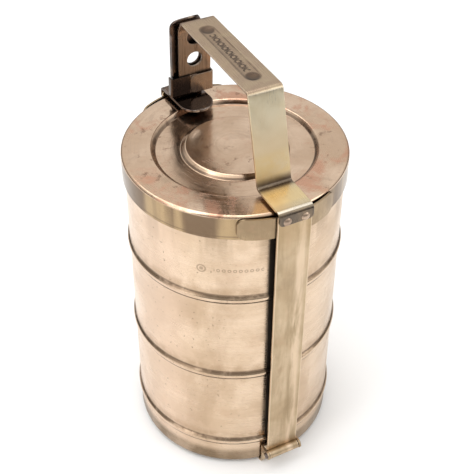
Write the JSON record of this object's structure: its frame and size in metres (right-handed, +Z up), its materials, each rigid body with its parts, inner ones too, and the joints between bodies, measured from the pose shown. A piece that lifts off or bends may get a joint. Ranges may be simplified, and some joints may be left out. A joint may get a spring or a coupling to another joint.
{
  "type": "tiffin carrier",
  "caption": "Cylindrical brass tiffin carrier: nested food containers and a lid held by hinged side straps, with a strip handle and a hasp latch.",
  "frame": {"origin": "centre of the underside of the base strap, where the carrier stands", "axes": "+Z up along the stack; -Y towards the front strap and the handle's upright, +Y towards the rear strap and the latch; X along the straps' width"},
  "size_m": [0.1424, 0.1635, 0.2918],
  "materials": {
    "vessel_brass": "satin, fine brushing round the body, light tarnish",
    "lid_brass": "satin with coppery patches",
    "strap_brass": "satin, brushed lengthwise, darker edges",
    "handle_brass": "worn satin, dark tarnish on the rear leg",
    "dark_brass": "dark brown tarnish, worn bright on edges",
    "rivet_brass": "dull, tarnished round the head"
  },
  "bodies": {
    "base": {"base_strap": "strap_brass", "base_tray": "vessel_brass", "base_rivets": "rivet_brass", "hinge_pin_front": "dark_brass", "hinge_pin_rear": "dark_brass"},
    "bottom_tier": {"container_bottom": "vessel_brass"},
    "middle_tier": {"container_middle": "vessel_brass"},
    "top_tier": {"container_top": "vessel_brass"},
    "lid_body": {"lid": "lid_brass"},
    "front_side": {"front_strap": "strap_brass", "front_saddle": "strap_brass", "front_rivets": "rivet_brass", "handle": "handle_brass"},
    "rear_side": {"rear_strap": "strap_brass", "rear_saddle": "strap_brass", "rear_rivets": "rivet_brass", "rear_arm": "dark_brass", "hasp_leaf": "dark_brass", "hasp_rivets": "rivet_brass"},
    "latch": {"latch_sleeve": "dark_brass"}
  },
  "joints": [
    {"name": "front_swing", "type": "hinge", "parent": "base", "child": "front_side", "pos_m": [0, -0.078, 0.0165], "axis": [1, 0, 0], "range_deg": [0, 92]},
    {"name": "rear_swing", "type": "hinge", "parent": "base", "child": "rear_side", "pos_m": [-0.00544, 0.07781, 0.0165], "axis": [-0.9976, -0.0698, 0], "range_deg": [0, 92]},
    {"name": "bottom_lift", "type": "slide", "parent": "base", "child": "bottom_tier", "axis": [0, 0, 1], "range_m": [0, 0.0131]},
    {"name": "middle_lift", "type": "slide", "parent": "bottom_tier", "child": "middle_tier", "axis": [0, 0, 1], "range_m": [0, 0.0131]},
    {"name": "top_lift", "type": "slide", "parent": "middle_tier", "child": "top_tier", "axis": [0, 0, 1], "range_m": [0, 0.0131]},
    {"name": "lid_lift", "type": "slide", "parent": "top_tier", "child": "lid_body", "axis": [0, 0, 1], "range_m": [0, 0.0171]},
    {"name": "latch_slide", "type": "slide", "parent": "front_side", "child": "latch", "axis": [0, -0.0384, 0.9993], "range_m": [0, 0.007]}
  ],
  "couplings": [
    {"joint": "rear_swing", "follows": "front_swing", "ratio": 1},
    {"joint": "bottom_lift", "follows": "front_swing", "m_per_rad": 0.0081},
    {"joint": "middle_lift", "follows": "front_swing", "m_per_rad": 0.0081},
    {"joint": "top_lift", "follows": "front_swing", "m_per_rad": 0.0081},
    {"joint": "lid_lift", "follows": "front_swing", "m_per_rad": 0.0106}
  ]
}
